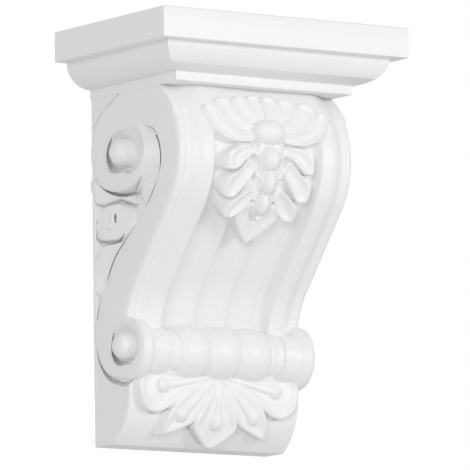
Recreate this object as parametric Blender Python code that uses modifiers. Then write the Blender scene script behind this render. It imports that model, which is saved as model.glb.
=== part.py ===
"""Wall corbel in the classical manner, cast in one piece.

The origin is the centre of the flat back, which goes against the wall. X runs along
the wall, -Y points out of it and +Z up. Depths are measured out of the wall, heights
from the foot of the corbel, and both become world coordinates only in place().
"""
import bpy
import bmesh
from math import acos, atan2, cos, pi, radians, sin, sqrt, tan
from mathutils import Matrix, Vector

mm = 0.001

# The whole corbel
HEIGHT = 300 * mm
CASTING_COLOUR = (0.86, 0.86, 0.85, 1.0)
CASTING_ROUGHNESS = 0.5

# The moulded top: a slab over a quarter round over a flat fillet
SLAB_THICKNESS = 22.2 * mm
SLAB_EDGE = 1.0 * mm
SLAB_OVERHANG = 10 * mm
OVOLO_REACH = 20 * mm
OVOLO_HEIGHT = 18.3 * mm
FILLET_HEIGHT = 7 * mm
FILLET_STAND = 0.9 * mm
FILLET_SETBACK = 2 * mm

# The S of the front, seen from the side
BELLY_DEPTH = 114 * mm
BELLY_START = radians(56.5)
BELLY_SHARE = 0.308
THROAT_SHARE = 0.342
THROAT_SETBACK = 1.9 * mm
THROAT_RISE = 7 * mm

# The front, across: an edge bead, a round band, a step and three flutes
CONSOLE_HALF_WIDTH = 75.3 * mm
EDGE_BEAD_RADIUS = 4.2 * mm
BEAD_INSET = 0.3 * mm
BEAD_MARGIN = 1.2 * mm
BAND_WIDTH = 19.7 * mm
BAND_CROWN = 3.5 * mm
BAND_VALLEY = 1.0 * mm
BAND_STEP = 6 * mm
STEP_DRAFT = 0.6 * mm
FLUTE_MARGIN = 7.1 * mm
MIDDLE_FLUTE_SHARE = 0.354
FLUTE_RECESS = 6.5 * mm
FLUTE_DEPTH = 2.6 * mm
FRONT_SHELL = 20 * mm

# The turned roll below the flutes
ROLL_DEPTH = 43 * mm
ROLL_HEIGHT = 67 * mm
DRUM_RADIUS = 22.5 * mm
NECK_RADIUS = 13 * mm
NECK_WIDTH = 5 * mm
TORUS_RADIUS = 17 * mm
TORUS_WIDTH = 9.4 * mm
RING_RADIUS = 16.4 * mm
RING_WIDTH = 4.4 * mm
RING_MARGIN = 0.6 * mm
BEAD_RADIUS = 20 * mm
BEAD_VALLEY_RADIUS = 15.4 * mm

# The foot block
BLOCK_STAND = 0.5 * mm
BLOCK_FOOT_DEPTH = 22 * mm
BLOCK_CURVE_HEIGHT = 38 * mm
BLOCK_DRAFT = 1.7 * mm

# The sides
SIDE_RECESS = 9 * mm
BACK_STRIP = 2.5 * mm
BACK_STRIP_INSET = 0.5 * mm
COVE_DEPTH = 14 * mm

# The big upper scroll, and the lower one that ends the roll
UPPER_SIZE = 41 * mm
UPPER_WALL_MARGIN = 1.5 * mm
UPPER_SOFFIT_MARGIN = 2.5 * mm
UPPER_RISE = 2.8 * mm
LOWER_RISE = 1.7 * mm
EYE_RADIUS = 9.7 * mm
EYE_STAND = 2.1 * mm
DISH_MARGIN = 0.8 * mm
DISH_DEPTH = 2 * mm

# The palmette on the belly, and the one that hangs from the roll
FAN_HALF_WIDTH = 56 * mm
FAN_HEIGHT = 34 * mm
FAN_PLACE = 41 * mm
FAN_STAND = 4 * mm
LEAF_STAND = 3.5 * mm
KEYSTONE_LENGTH = 88 * mm
HANGING_TOP = 15 * mm
HANGING_STAND = 4.5 * mm
HANGING_MARGIN = 4.6 * mm
HANGING_SHARE = 0.87
ORNAMENT_SINK = 13 * mm
HANGING_SINK = 4 * mm

# Facets
ARC_STEP = radians(15)
ROLL_STEPS = 22
SCROLL_STEPS = 24
OVERLAP = 3 * mm

# What follows from the sizes above
SOFFIT = HEIGHT - SLAB_THICKNESS - OVOLO_HEIGHT - FILLET_HEIGHT
BELLY_RADIUS = (SOFFIT - ROLL_HEIGHT) * BELLY_SHARE
THROAT_RADIUS = (SOFFIT - ROLL_HEIGHT) * THROAT_SHARE
SLAB_HALF_WIDTH = CONSOLE_HALF_WIDTH + FILLET_STAND + OVOLO_REACH + SLAB_OVERHANG
SLAB_DEPTH = BELLY_DEPTH - FILLET_SETBACK + OVOLO_REACH + SLAB_OVERHANG
BAND_OUTER = CONSOLE_HALF_WIDTH - 2 * EDGE_BEAD_RADIUS - BEAD_MARGIN
BAND_INNER = BAND_OUTER - BAND_WIDTH
BAND_SHOULDER = BAND_CROWN * 0.8
FLUTES_HALF_WIDTH = BAND_INNER - FLUTE_MARGIN
MIDDLE_FLUTE_WIDTH = FLUTES_HALF_WIDTH * 2 * MIDDLE_FLUTE_SHARE
FLUTE_WIDTH = FLUTES_HALF_WIDTH - MIDDLE_FLUTE_WIDTH / 2
FLUTES = ((FLUTES_HALF_WIDTH, FLUTE_WIDTH), (MIDDLE_FLUTE_WIDTH / 2, MIDDLE_FLUTE_WIDTH))
RING_PLACE = FLUTES_HALF_WIDTH + RING_MARGIN + RING_WIDTH / 2
TORUS_PLACE = RING_PLACE + (RING_WIDTH + TORUS_WIDTH) / 2
NECK_PLACE = TORUS_PLACE + TORUS_WIDTH / 2 + NECK_WIDTH
BLOCK_DEPTH = ROLL_DEPTH + BLOCK_STAND
UPPER_EYE = (UPPER_SIZE + UPPER_WALL_MARGIN, SOFFIT - UPPER_SIZE - UPPER_SOFFIT_MARGIN)
LOWER_EYE = (ROLL_DEPTH, ROLL_HEIGHT)


def place(x, depth, height):
    """World point of a place on the corbel."""
    return Vector((x, -depth, height - HEIGHT / 2))


def on_circle(centre, radius, angle):
    """A point on a circle."""
    return centre[0] + radius * cos(angle), centre[1] + radius * sin(angle)


def arc(centre, radius, start, end, step=ARC_STEP):
    """Points on a circle from one angle to another, both ends with them."""
    count = max(2, round(abs(end - start) / step))
    return [on_circle(centre, radius, start + (end - start) * i / count) for i in range(count + 1)]


def bezier(points, count):
    """Points on the Bezier curve of two to four control points."""
    result = []
    for i in range(count + 1):
        t = i / count
        level = [Vector(p) for p in points]
        while len(level) > 1:
            level = [a.lerp(b, t) for a, b in zip(level, level[1:])]
        result.append(tuple(level[0]))
    return result


class Path:
    """A line on the side view, walked by its length, with the outward normal."""

    def __init__(self, points, zero=0.0):
        self.points = [Vector(p) for p in points]
        self.length = [0.0]
        for a, b in zip(self.points, self.points[1:]):
            self.length.append(self.length[-1] + (b - a).length)
        self.zero = zero

    def at(self, s):
        """Point and outward normal at a length from the zero of the path."""
        s = s + self.zero
        i = 0
        while i < len(self.length) - 2 and self.length[i + 1] < s:
            i += 1
        a, b = self.points[i], self.points[i + 1]
        along = (b - a).normalized()
        point = a + along * (s - self.length[i])
        return point, Vector((-along.y, along.x))

    def lay(self, x, s, stand):
        """World point that stands off the path."""
        point, normal = self.at(s)
        spot = point + normal * stand
        return place(x, spot.x, spot.y)

    def offset(self, inward, keep):
        """The points moved inward, where keep(point) holds."""
        moved = []
        for i in range(len(self.points) - 1):
            along = (self.points[i + 1] - self.points[i]).normalized()
            spot = self.points[i] - Vector((-along.y, along.x)) * inward
            if keep(spot):
                moved.append(tuple(spot))
        return moved


def front_path(step):
    """The S of the front: belly arc, straight run and throat arc, from the soffit down.

    A straight piece goes on above the soffit, long enough for the whole shell to end in the capital.
    """
    belly = Vector((BELLY_DEPTH - BELLY_RADIUS, SOFFIT - BELLY_RADIUS * sin(BELLY_START)))
    throat = Vector((ROLL_DEPTH - THROAT_SETBACK + THROAT_RADIUS, ROLL_HEIGHT + THROAT_RISE))
    between = throat - belly
    touch = atan2(between.y, between.x) + acos((BELLY_RADIUS + THROAT_RADIUS) / between.length)
    points = arc(belly, BELLY_RADIUS, BELLY_START, touch, step)
    points += arc(throat, THROAT_RADIUS, touch + pi, pi + radians(2), step)
    rise = FRONT_SHELL * tan(BELLY_START) + OVERLAP
    above = (points[0][0] - rise * sin(BELLY_START), points[0][1] + rise * cos(BELLY_START))
    return Path([above] + points, rise)


def block_front():
    """The front of the foot block: upright, then curving back to the foot."""
    curve = bezier([(BLOCK_DEPTH, BLOCK_CURVE_HEIGHT), (BLOCK_DEPTH, BLOCK_CURVE_HEIGHT * 0.58),
                    (BLOCK_DEPTH * 0.8, BLOCK_CURVE_HEIGHT * 0.24), (BLOCK_FOOT_DEPTH, 0.0)], 7)
    return [(BLOCK_DEPTH, ROLL_HEIGHT)] + curve


def material():
    """White primer on cast foam."""
    paint = bpy.data.materials.new("white primer")
    paint.use_nodes = True
    shader = paint.node_tree.nodes["Principled BSDF"]
    shader.inputs["Base Color"].default_value = CASTING_COLOUR
    shader.inputs["Roughness"].default_value = CASTING_ROUGHNESS
    shader.inputs["Metallic"].default_value = 0.0
    return paint


def new_object(name, mesh, collection):
    """An object with its mesh, in a collection."""
    thing = bpy.data.objects.new(name, mesh)
    collection.objects.link(thing)
    return thing


def finish_mesh(bm, name):
    """Weld the caps, turn the faces outward and make the mesh."""
    bmesh.ops.remove_doubles(bm, verts=bm.verts, dist=0.00001)
    bmesh.ops.recalc_face_normals(bm, faces=bm.faces)
    mesh = bpy.data.meshes.new(name)
    bm.to_mesh(mesh)
    bm.free()
    return mesh


def evaluated_mesh(thing):
    """The mesh of an object with its modifiers."""
    bpy.context.view_layer.update()
    return bpy.data.meshes.new_from_object(thing.evaluated_get(bpy.context.evaluated_depsgraph_get()))


def curve_mesh(curve, name, frame=Matrix()):
    """The closed mesh of a curve, moved by a frame, with the curve removed."""
    guide = new_object(name, curve, bpy.context.scene.collection)
    mesh = evaluated_mesh(guide)
    bpy.data.objects.remove(guide)
    bm = bmesh.new()
    bm.from_mesh(mesh)
    bpy.data.meshes.remove(mesh)
    bm.transform(frame)
    return finish_mesh(bm, name)


def spline_of(curve, points, cyclic):
    """A straight-sided spline through points."""
    spline = curve.splines.new("POLY")
    spline.points.add(len(points) - 1)
    for knot, point in zip(spline.points, points):
        knot.co = (*point, *([0.0] * (3 - len(point))), 1.0)
    spline.use_cyclic_u = cyclic


SIDE_VIEW = Matrix(((0, 0, -1, 0), (-1, 0, 0, 0), (0, 1, 0, -HEIGHT / 2), (0, 0, 0, 1)))
FRONT_VIEW = Matrix(((1, 0, 0, 0), (0, 0, -1, 0), (0, 1, 0, -HEIGHT / 2), (0, 0, 0, 1)))
TOP_VIEW = Matrix(((1, 0, 0, 0), (0, -1, 0, 0), (0, 0, -1, 0), (0, 0, 0, 1)))


def prism(name, outline, view, low, high):
    """A flat outline pushed from low to high along the third axis of its view."""
    curve = bpy.data.curves.new(name, "CURVE")
    curve.dimensions = "2D"
    curve.fill_mode = "BOTH"
    curve.extrude = (high - low) / 2
    spline_of(curve, outline, True)
    return curve_mesh(curve, name, view @ Matrix.Translation((0, 0, (low + high) / 2)))


def boolean(thing, operation, name):
    """A Boolean modifier with the exact solver."""
    modifier = thing.modifiers.new(name, "BOOLEAN")
    modifier.operation = operation
    modifier.solver = "EXACT"
    return modifier


def shared_solid(name, first_mesh, second_mesh):
    """The solid that two prisms share."""
    first, second = (new_object(name, mesh, bpy.context.scene.collection) for mesh in (first_mesh, second_mesh))
    boolean(first, "INTERSECT", "meet").object = second
    mesh = evaluated_mesh(first)
    for thing in (first, second):
        bpy.data.objects.remove(thing)
    mesh.name = name
    return mesh


def moulding(reach):
    """Profile of the moulded top from its top edge down, where reach is the slab's."""
    soffit_reach = reach - SLAB_OVERHANG
    fillet_reach = soffit_reach - OVOLO_REACH
    slab_foot = HEIGHT - SLAB_THICKNESS
    points = arc((reach - SLAB_EDGE, HEIGHT - SLAB_EDGE), SLAB_EDGE, pi / 2, 0, radians(45))
    points += arc((reach - SLAB_EDGE, slab_foot + SLAB_EDGE), SLAB_EDGE, 0, -pi / 2, radians(45))
    for i in range(9):
        angle = pi / 2 * i / 8
        points.append((fillet_reach + OVOLO_REACH * cos(angle), slab_foot - OVOLO_HEIGHT * sin(angle)))
    points.append((fillet_reach, SOFFIT))
    return points


def capital():
    """The moulded top: a loft of rectangles, so the front moulding mitres with the sides."""
    front = moulding(SLAB_DEPTH)
    side = moulding(SLAB_HALF_WIDTH)
    bm = bmesh.new()
    rings = []
    for (depth, height), (half_width, _) in zip(front, side):
        corners = ((-half_width, -OVERLAP), (half_width, -OVERLAP), (half_width, depth), (-half_width, depth))
        rings.append([bm.verts.new(place(x, d, height)) for x, d in corners])
    bm.faces.new(rings[0])
    bm.faces.new(reversed(rings[-1]))
    for upper, lower in zip(rings, rings[1:]):
        for i in range(4):
            bm.faces.new((upper[i], upper[i - 1], lower[i - 1], lower[i]))
    return finish_mesh(bm, "capital")


def body(path):
    """The body behind the carving, with sides that run out to the wall in a cove."""
    front = path.offset(FRONT_SHELL - OVERLAP * 2, lambda p: p.y < SOFFIT)
    outline = [(-OVERLAP, SOFFIT + OVERLAP), (front[0][0], SOFFIT + OVERLAP)] + front
    outline += [(BLOCK_DEPTH - OVERLAP, ROLL_HEIGHT), (BLOCK_DEPTH - OVERLAP, ROLL_HEIGHT * 0.5),
                (-OVERLAP, ROLL_HEIGHT * 0.5)]
    side = prism("body side", outline, SIDE_VIEW, -CONSOLE_HALF_WIDTH * 1.2, CONSOLE_HALF_WIDTH * 1.2)
    outer = CONSOLE_HALF_WIDTH - BACK_STRIP_INSET
    inner = CONSOLE_HALF_WIDTH - SIDE_RECESS
    half = [(outer, -2 * OVERLAP), (outer, BACK_STRIP)]
    for i in range(1, 5):
        angle = pi / 2 * i / 4
        half.append((outer - (outer - inner) * sin(angle), COVE_DEPTH - (COVE_DEPTH - BACK_STRIP) * cos(angle)))
    half.append((inner, BELLY_DEPTH * 1.2))
    plan_outline = half + [(-x, d) for x, d in reversed(half)]
    plan = prism("body plan", plan_outline, TOP_VIEW, -HEIGHT, HEIGHT)
    return shared_solid("body", side, plan)


def block():
    """The foot block, with a little draft on its sides."""
    front = block_front()
    outline = [(-OVERLAP, ROLL_HEIGHT)] + front + [(-OVERLAP, 0.0)]
    side = prism("block side", outline, SIDE_VIEW, -CONSOLE_HALF_WIDTH * 1.2, CONSOLE_HALF_WIDTH * 1.2)
    half = [(CONSOLE_HALF_WIDTH - BLOCK_DRAFT * share, BLOCK_DEPTH * share) for share in (-1, 2)]
    plan = prism("block plan", half + [(-x, d) for x, d in reversed(half)], TOP_VIEW, -HEIGHT, HEIGHT)
    return shared_solid("block", side, plan)


def front_section():
    """Half of the section across the front, from the edge bead to the middle."""
    bead_centre = CONSOLE_HALF_WIDTH - EDGE_BEAD_RADIUS - BEAD_INSET
    inner_side = CONSOLE_HALF_WIDTH - EDGE_BEAD_RADIUS * 0.6
    points = [(inner_side, -FRONT_SHELL), (inner_side, -EDGE_BEAD_RADIUS * 1.2)]
    points += arc((bead_centre, -EDGE_BEAD_RADIUS), EDGE_BEAD_RADIUS, 0, radians(120), radians(30))
    middle = (BAND_OUTER + BAND_INNER) / 2
    half_band = (BAND_OUTER - BAND_INNER) / 2
    for share, height in ((1.0, -BAND_VALLEY), (0.6, BAND_CROWN * 0.7), (0.0, BAND_CROWN),
                          (-0.6, BAND_CROWN * 0.95), (-1.0, BAND_SHOULDER)):
        points.append((middle + half_band * share, height))
    points.append((BAND_INNER - STEP_DRAFT, BAND_SHOULDER - BAND_STEP))
    for start, width in FLUTES:
        for i in range(5):
            share = i / 5
            if start - width * share < 0:
                break
            points.append((start - width * share, -FLUTE_RECESS - FLUTE_DEPTH * 4 * share * (1 - share)))
    return points


def fluted_front(path):
    """The front, as its section carried down the S."""
    half = front_section()
    section = bpy.data.curves.new("front section", "CURVE")
    section.dimensions = "2D"
    spline_of(section, half + [(-x, h) for x, h in reversed(half)], True)
    section_object = new_object("front section", section, bpy.context.scene.collection)
    curve = bpy.data.curves.new("fluted front", "CURVE")
    curve.dimensions = "3D"
    curve.twist_mode = "MINIMUM"
    curve.bevel_mode = "OBJECT"
    curve.bevel_object = section_object
    curve.use_fill_caps = True
    spline_of(curve, [tuple(place(0, *p)) for p in path.points], False)
    mesh = curve_mesh(curve, "fluted front")
    bpy.data.objects.remove(section_object)
    return mesh


def roll():
    """The turned roll: half drums, necks, rings and three beads, in one lathe profile."""
    half = [(CONSOLE_HALF_WIDTH - EDGE_BEAD_RADIUS, 0.0),
            (CONSOLE_HALF_WIDTH - EDGE_BEAD_RADIUS, DRUM_RADIUS - BEAD_INSET),
            ((CONSOLE_HALF_WIDTH + NECK_PLACE) / 2, DRUM_RADIUS * 0.93),
            (NECK_PLACE + NECK_WIDTH / 2, (DRUM_RADIUS + NECK_RADIUS * 2) / 3),
            (NECK_PLACE, NECK_RADIUS)]
    rings = ((TORUS_PLACE, TORUS_RADIUS, TORUS_WIDTH), (RING_PLACE, RING_RADIUS, RING_WIDTH))
    for centre, radius, width in rings:
        for share, drop in ((0.36, 0.14), (0.0, 0.0), (-0.36, 0.14), (-0.48, 0.3)):
            half.append((centre + width * share, radius - width * drop))
    for start, width in FLUTES:
        for i in range(6):
            share = i / 6
            if start - width * share < 0:
                break
            swell = (BEAD_RADIUS - BEAD_VALLEY_RADIUS) * sqrt(1 - (1 - 2 * share) ** 2)
            half.append((start - width * share, BEAD_VALLEY_RADIUS + swell))
    profile = half + [(-x, r) for x, r in reversed(half) if x > 0]
    bm = bmesh.new()
    knots = [bm.verts.new((r, 0.0, x)) for x, r in profile]
    for a, b in zip(knots, knots[1:]):
        bm.edges.new((a, b))
    mesh = bpy.data.meshes.new("roll profile")
    bm.to_mesh(mesh)
    bm.free()
    lathe = new_object("roll profile", mesh, bpy.context.scene.collection)
    turn = lathe.modifiers.new("turn", "SCREW")
    turn.axis = "Z"
    turn.steps = turn.render_steps = ROLL_STEPS
    turn.use_merge_vertices = True
    turn.merge_threshold = 0.00001
    turned = evaluated_mesh(lathe)
    bpy.data.objects.remove(lathe)
    bm = bmesh.new()
    bm.from_mesh(turned)
    axis = place(0, ROLL_DEPTH, ROLL_HEIGHT)
    bm.transform(Matrix.Translation(axis) @ Matrix(((0, 0, 1, 0), (-1, 0, 0, 0), (0, -1, 0, 0), (0, 0, 0, 1))))
    return finish_mesh(bm, "roll")


def around(values, angle):
    """A value read from a smooth ring of values, spread evenly round a full turn."""
    count = len(values)
    share = (angle / (2 * pi)) % 1.0 * count
    i = int(share)
    t = share - i
    a, b, c, d = (values[(i + k) % count] for k in (-1, 0, 1, 2))
    return b + 0.5 * t * (c - a + t * (2 * a - 5 * b + 4 * c - d + t * (3 * (b - c) + d - a)))


# The two scrolls every 30 degrees from the front over the top. Outline, dish and rounding are
# shares of the scroll's size, and the ramp is how high its face stands, as a share of its rise.
UPPER_OUTLINE = (0.79, 0.71, 0.68, 0.98, 1.04, 1.03, 0.99, 0.88, 0.74, 0.68, 0.72, 0.77)
UPPER_DISH = (0.73, 0.66, 0.56, 0.42, 0.47, 0.55, 0.59, 0.53, 0.40, 0.34, 0.48, 0.65)
UPPER_RAMP = (1.0, 0.7, 0.15, 0.05, 0.25, 0.7, 1.0, 1.1, 1.15, 1.15, 1.1, 1.05)
LOWER_OUTLINE = (1.0, 1.0, 1.0, 0.98, 1.2, 2.04, 1.62, 1.34, 1.05, 0.99, 1.0, 1.0)
LOWER_DISH = (0.78, 0.80, 0.86, 0.93, 0.98, 1.0, 1.0, 0.80, 0.60, 0.52, 0.60, 0.70)
LOWER_RAMP = (-1.0, -1.2, -1.2, -0.6, 0.1, 0.4, 1.0, 1.0, 1.0, 0.8, 0.2, -0.5)
LOWER_ROUND = (0.17, 0.17, 0.17, 0.15, 0.05, 0.03, 0.03, 0.03, 0.05, 0.1, 0.15, 0.17)
UPPER_ROUND = (0.02,) * 12


def scroll(name, centre, size, rise, outline, dish, ramp, rounding):
    """One scroll: a dished disc whose rim winds outward, lofted round its eye."""
    bm = bmesh.new()
    floor_radius = EYE_RADIUS + DISH_MARGIN
    floor = CONSOLE_HALF_WIDTH - DISH_DEPTH
    root = CONSOLE_HALF_WIDTH - SIDE_RECESS - OVERLAP
    rows = []
    for step in range(SCROLL_STEPS):
        angle = 2 * pi * step / SCROLL_STEPS
        outer = size * around(outline, angle)
        crest = max(size * around(dish, angle), floor_radius + DISH_MARGIN)
        top = CONSOLE_HALF_WIDTH + rise * around(ramp, angle)
        soft = size * around(rounding, angle)
        crest = min(crest, outer - soft - DISH_MARGIN / 2)
        section = ((floor_radius, floor), (crest, top), (outer - soft, top),
                   (outer - soft * 0.3, top - soft * 0.3), (outer, top - soft), (outer, root))
        row = []
        for radius, x in section:
            height = min(centre[1] + radius * sin(angle), SOFFIT + OVERLAP)
            depth = max(centre[0] + radius * cos(angle), -OVERLAP / 2)
            row.append(bm.verts.new(place(x, depth, height)))
        rows.append(row)
    inner = bm.verts.new(place(floor, *centre))
    back = bm.verts.new(place(root, *centre))
    for row, after in zip(rows, rows[1:] + rows[:1]):
        bm.faces.new((inner, row[0], after[0]))
        bm.faces.new((back, after[-1], row[-1]))
        for k in range(len(row) - 1):
            bm.faces.new((row[k], row[k + 1], after[k + 1], after[k]))
    return finish_mesh(bm, name)


def band_side(path):
    """Side outline of the S band, which the two scrolls finish at its ends."""
    front = path.offset(EDGE_BEAD_RADIUS * 0.8, lambda p: p.y < SOFFIT)
    points = [(-OVERLAP, SOFFIT + OVERLAP), (front[0][0], SOFFIT + OVERLAP)] + front
    points += arc(LOWER_EYE, DRUM_RADIUS * 0.8, radians(50), radians(-58), radians(27))
    points += arc(LOWER_EYE, DRUM_RADIUS * 0.9, radians(-100), radians(-160), radians(30))
    for reach, angle in ((1.74, 169), (2.0, 152), (2.21, 141)):
        points.append(on_circle(LOWER_EYE, DRUM_RADIUS * reach, radians(angle)))
    # The back edge swings up from the lower scroll and round the upper one, with a gap between them
    for out, up in ((-0.66, -2.2), (-0.3, -1.73), (0.13, -1.44), (0.7, -1.0), (0.96, -0.71), (1.15, -0.34),
                    (1.18, -0.1), (1.12, 0.17), (0.93, 0.33), (0.54, 0.43), (0.0, 0.0)):
        points.append((UPPER_EYE[0] + out * UPPER_SIZE, UPPER_EYE[1] + up * UPPER_SIZE))
    return points + [(-OVERLAP, UPPER_EYE[1] + UPPER_SIZE * 0.4)]


def petal(name, lay, line, width, stand, sink, root_width=0.35, full=0.6, hollow=0.0, rings=7, sides=8):
    """A petal or leaf: a ball drawn out along a line, with a flat root and a hollowed top.

    The line is a Bezier on the surface, the width is its widest, full is where along the
    petal it is widest, and lay turns a place on the surface and a stand into a world point.
    """
    bm = bmesh.new()
    bmesh.ops.create_uvsphere(bm, u_segments=sides, v_segments=rings, radius=1.0)
    control = [Vector(p) for p in line]
    for vert in bm.verts:
        share = (1 + vert.co.z) / 2
        ring = sqrt(max(0.0, 1 - vert.co.z ** 2))
        side, lift = (vert.co.x / ring, vert.co.y / ring) if ring > 0.001 else (0.0, 0.0)
        level = control
        ahead = control
        while len(level) > 1:
            ahead = level
            level = [a.lerp(b, share) for a, b in zip(level, level[1:])]
        along = (ahead[1] - ahead[0]).normalized()
        across = Vector((-along.y, along.x))
        if share < full:
            spread = root_width + (1 - root_width) * sin(pi / 2 * share / full)
        else:
            spread = sqrt(max(0.0, 1 - ((share - full) / (1 - full)) ** 2))
        if ring <= 0.001:
            spread = 0.0
        if lift > 0:
            dip = hollow * (1 - side * side) * min(1.0, 3 * share) * min(1.0, 4 * (1 - share))
            height = stand * lift ** 0.5 - dip
        else:
            # The flanks go down nearly upright, so no pocket is left between neighbours
            side *= 1.3 if lift < -0.001 else 1.0
            height = lift * sink
        spot = level[0] + across * (side * spread * width)
        vert.co = lay(spot.x, spot.y, height)
    return finish_mesh(bm, name)


def ball(name, lay, spot, across, along, height, segments=10, rings=7):
    """A smooth oval bead lying on the surface."""
    bm = bmesh.new()
    bmesh.ops.create_uvsphere(bm, u_segments=segments, v_segments=rings, radius=1.0)
    for vert in bm.verts:
        vert.co = lay(spot[0] + vert.co.x * across, spot[1] + vert.co.y * along,
                      height[0] + vert.co.z * height[1])
    return finish_mesh(bm, name)


def palmette(path):
    """The palmette on the belly: a shell of eight petals over leaves, beads and a point."""
    forms = []
    unit = FAN_HALF_WIDTH / 56
    tall = FAN_HEIGHT / (34 * unit)

    def lay(x, s, stand):
        return path.lay(x, FAN_PLACE + s * tall, stand)

    shell = (((4, -6), (6, -18), (7, -33), 7.4), ((8, -6), (17, -15), (21.5, -30), 8.2),
             ((11, -3), (28, -10), (37, -24.5), 8.4), ((13, 2), (38, 1), (51, -14), 8.2))
    leaves = (((11, 10), (22, 16), (39, 29), 8.6), ((10, 26), (20, 34), (36, 52), 8.4),
              ((4, 44), (14, 51), (27, 70), 7.6))
    for side in (-1, 1):
        for group, stand, hollow, full in ((shell, FAN_STAND, 1.8 * unit, 0.72), (leaves, LEAF_STAND, 2 * unit, 0.62)):
            for *line, width in group:
                knots = [(side * x * unit, s * unit) for x, s in line]
                forms.append(petal("palmette petal", lay, knots, width * unit, stand, ORNAMENT_SINK,
                                   root_width=0.4, full=full, hollow=hollow))

    def down(share):
        return 0.0, FAN_PLACE + KEYSTONE_LENGTH * share

    forms.append(petal("keystone leaf", path.lay, [down(0.54), down(0.8), down(1.0)], 17 * unit, LEAF_STAND,
                       ORNAMENT_SINK, root_width=0.5, full=0.36, hollow=1 * unit))
    forms.append(petal("spine", path.lay, [down(0.05), down(0.45), down(0.82)], 8.5 * unit, LEAF_STAND + 1 * unit,
                       ORNAMENT_SINK, root_width=0.9, full=0.2))
    forms.append(ball("palmette boss", lay, (0, 0.5 * unit), 13.5 * unit, 9.8 * unit, (1 * unit, 8 * unit), 12, 8))
    for share, across, along, rise in ((0.24, 7.6, 8.8, 7.0), (0.44, 5.7, 8.8, 6.4), (0.64, 4.6, 8.2, 5.8)):
        forms.append(ball("bead", path.lay, down(share), across * unit, along * unit, (2 * unit, rise * unit)))
    return forms


def hanging_palmette(path):
    """The palmette under the roll: five petals, each with a stamen that ends in a knob."""
    forms = []
    half_width = CONSOLE_HALF_WIDTH - BLOCK_DRAFT - HANGING_MARGIN
    unit = half_width / 69
    tall = HANGING_SHARE * (path.length[-1] - path.zero) / 53
    petals = (((0, -2), (24, 7), (54, 9), 15.5, 0.74, (49, 9)),
              ((0, -2), (20, 20), (44, 43), 13, 0.5, (31, 28)),
              ((0, -2), (0, 26), (0, 53), 17.5, 0.58, (0, 33)))
    for side in (-1, 1):
        for *line, width, full, knob in petals:
            if side < 0 and knob[0] == 0:
                continue
            knots = [(side * x * unit, s * tall) for x, s in line]
            if line[-1][0] > 50:
                knots[-1] = (side * (half_width - unit), knots[-1][1])
            forms.append(petal("hanging petal", path.lay, knots, width * unit, HANGING_STAND, HANGING_SINK,
                               root_width=0.25, full=full, hollow=1.5 * unit))
            end = (side * knob[0] * unit, knob[1] * tall)
            root = (side * knob[0] * 0.1 * unit, 0.0)
            middle = tuple((a + b) / 2 for a, b in zip(root, end))
            forms.append(petal("stamen", path.lay, [root, middle, end], 3.2 * unit, HANGING_STAND + 2 * unit,
                               HANGING_SINK, root_width=0.5, full=0.8, rings=5, sides=6))
            forms.append(ball("stamen knob", path.lay, end, 5.2 * unit, 5.2 * unit,
                              (HANGING_STAND * 0.4, 5.4 * unit), 8, 6))
    return forms


def side_leaf(side):
    """The scrolled leaf between the band and the wall."""
    unit = UPPER_SIZE / 41

    def lay(depth, height, stand):
        return place(side * (CONSOLE_HALF_WIDTH - SIDE_RECESS + stand),
                     UPPER_EYE[0] + depth, UPPER_EYE[1] + height)

    forms = []
    leaves = (((24, -40), (0, -26), (-33, -23), 8.5, 8.0), ((12, -50), (-10, -60), (-33, -52), 7.5, 7.5),
              ((-8, -66), (-28, -72), (-36, -92), 9.0, 7.0), ((27, -24), (26, -30), (24, -41), 6.5, 5.0),
              ((6, -44), (-18, -30), (-30, -46), 6.0, 7.5))
    for *line, width, stand in leaves:
        knots = [(d * unit, h * unit) for d, h in line]
        forms.append(petal("side leaf", lay, knots, width * unit, stand * unit, 3 * unit, root_width=0.7, full=0.5,
                           hollow=1.2 * unit, rings=6))
    forms.append(ball("side leaf eye", lay, (-16 * unit, -47 * unit), 5 * unit, 5 * unit, (4 * unit, 5 * unit), 8, 6))
    return forms


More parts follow.
